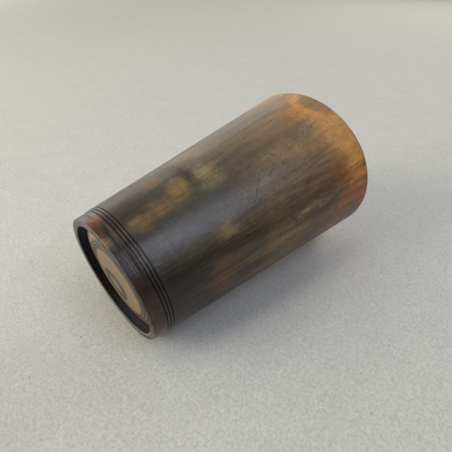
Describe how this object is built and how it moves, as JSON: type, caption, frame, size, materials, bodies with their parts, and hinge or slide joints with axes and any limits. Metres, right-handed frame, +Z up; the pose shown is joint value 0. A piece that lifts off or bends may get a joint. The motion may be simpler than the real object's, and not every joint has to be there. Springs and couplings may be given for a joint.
{
  "type": "drinking cup",
  "caption": "Tapered drinking cup of turned horn: oval mouth, lines incised over a round foot, and a recessed base disc sprung into a seat in the wall.",
  "frame": {"origin": "centre of the foot, on the surface that the cup stands on", "axes": "+Z up the cup's axis from the foot to the mouth; X the long way across the oval mouth, Y the short way"},
  "size_m": [0.076, 0.07, 0.11],
  "materials": {
    "dark_horn": null,
    "pale_horn": "pale tan horn plate, satin, with darker growth lines that show as nested rings"
  },
  "bodies": {
    "root": {"horn_wall": "dark_horn", "base_disc": "pale_horn"}
  },
  "joints": []
}
